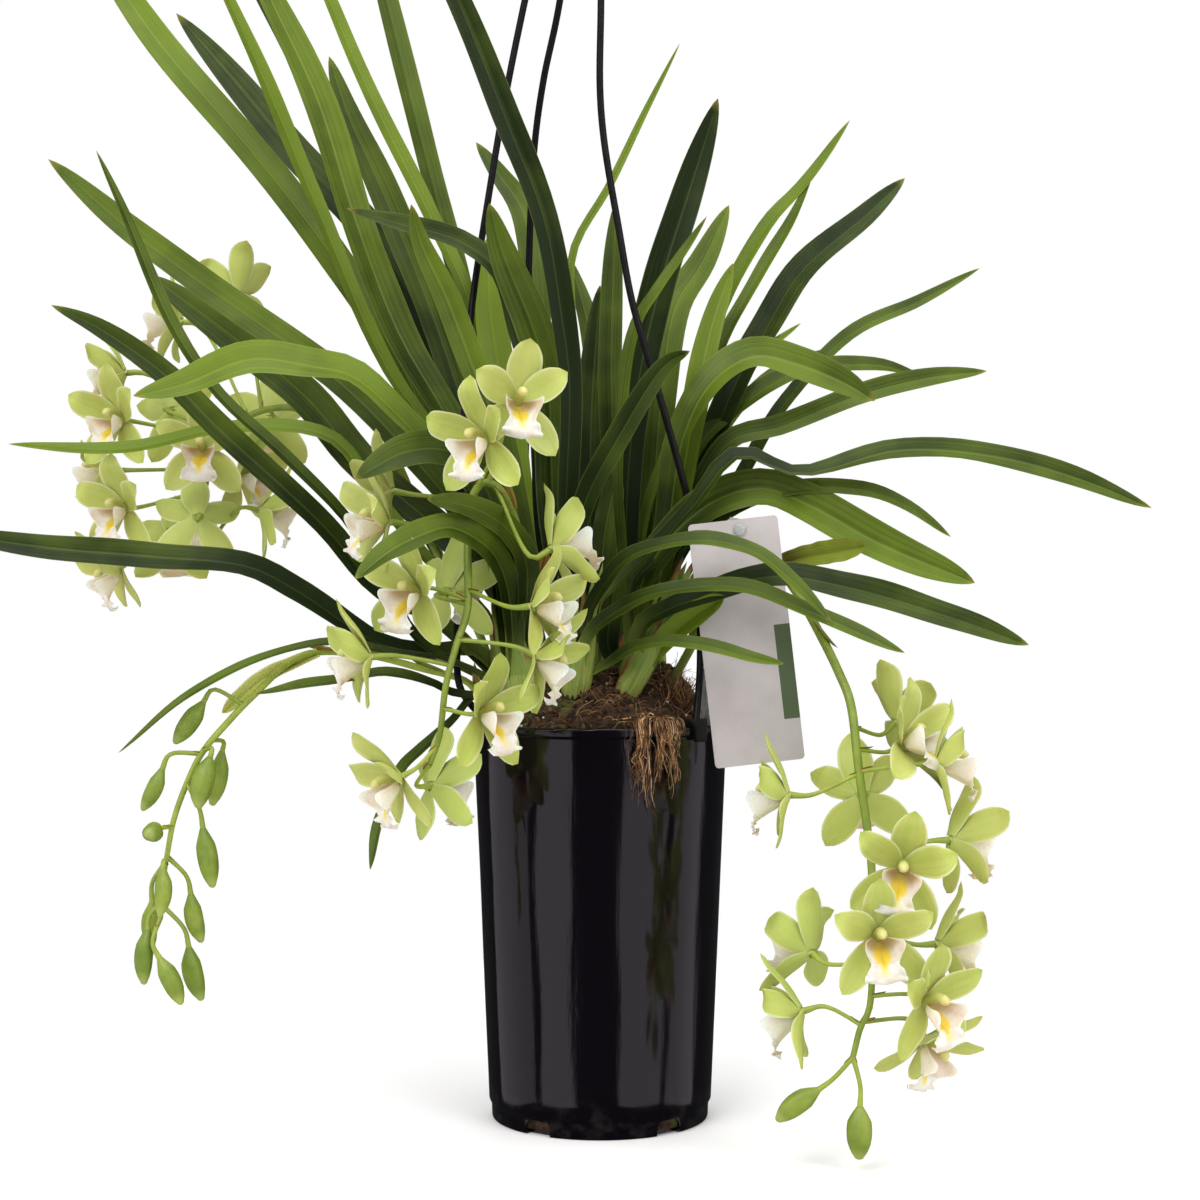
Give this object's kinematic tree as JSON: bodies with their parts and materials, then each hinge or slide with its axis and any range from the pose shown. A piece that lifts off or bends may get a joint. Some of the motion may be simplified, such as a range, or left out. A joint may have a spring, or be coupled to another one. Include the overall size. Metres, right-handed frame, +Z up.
{
  "type": "potted cymbidium orchid",
  "caption": "Green cymbidium orchid with arching strap leaves and hanging flower sprays in a tall black pot with a wire hanger and a blank plant label.",
  "frame": {"origin": "middle of the pot's flat underside", "axes": "+Z up along the pot's axis, the label and the front flower spray towards -Y, +X to the right of the front view"},
  "size_m": [0.6402, 0.3345, 0.8215],
  "materials": {
    "leaf": "satin leaf",
    "flower": "soft waxy petal",
    "bud": "soft waxy bud",
    "hanger": "satin moulded plastic",
    "mix": "crumbly bark and peat",
    "root": "fibrous",
    "stake": "clear grey moulded plastic",
    "pot": "gloss",
    "card": "coated card"
  },
  "bodies": {
    "root": {"bud_spray": "bud", "growing_mix": "mix", "growth_back_left": "leaf", "growth_back_mid": "leaf", "growth_back_right": "leaf", "growth_front_low": "leaf", "growth_front_mid": "leaf", "growth_left_back": "leaf", "growth_left_front": "leaf", "growth_right_front": "leaf", "growth_right_low": "leaf", "growth_right_mid": "leaf", "hanger_hook": "hanger", "hanger_leg_back": "hanger", "hanger_leg_left": "hanger", "hanger_leg_right": "hanger", "hanging_roots": "root", "label_stake": "stake", "pot": "pot", "spray_front": "flower", "spray_left": "flower", "spray_right": "flower", "tag": "card"}
  },
  "joints": []
}
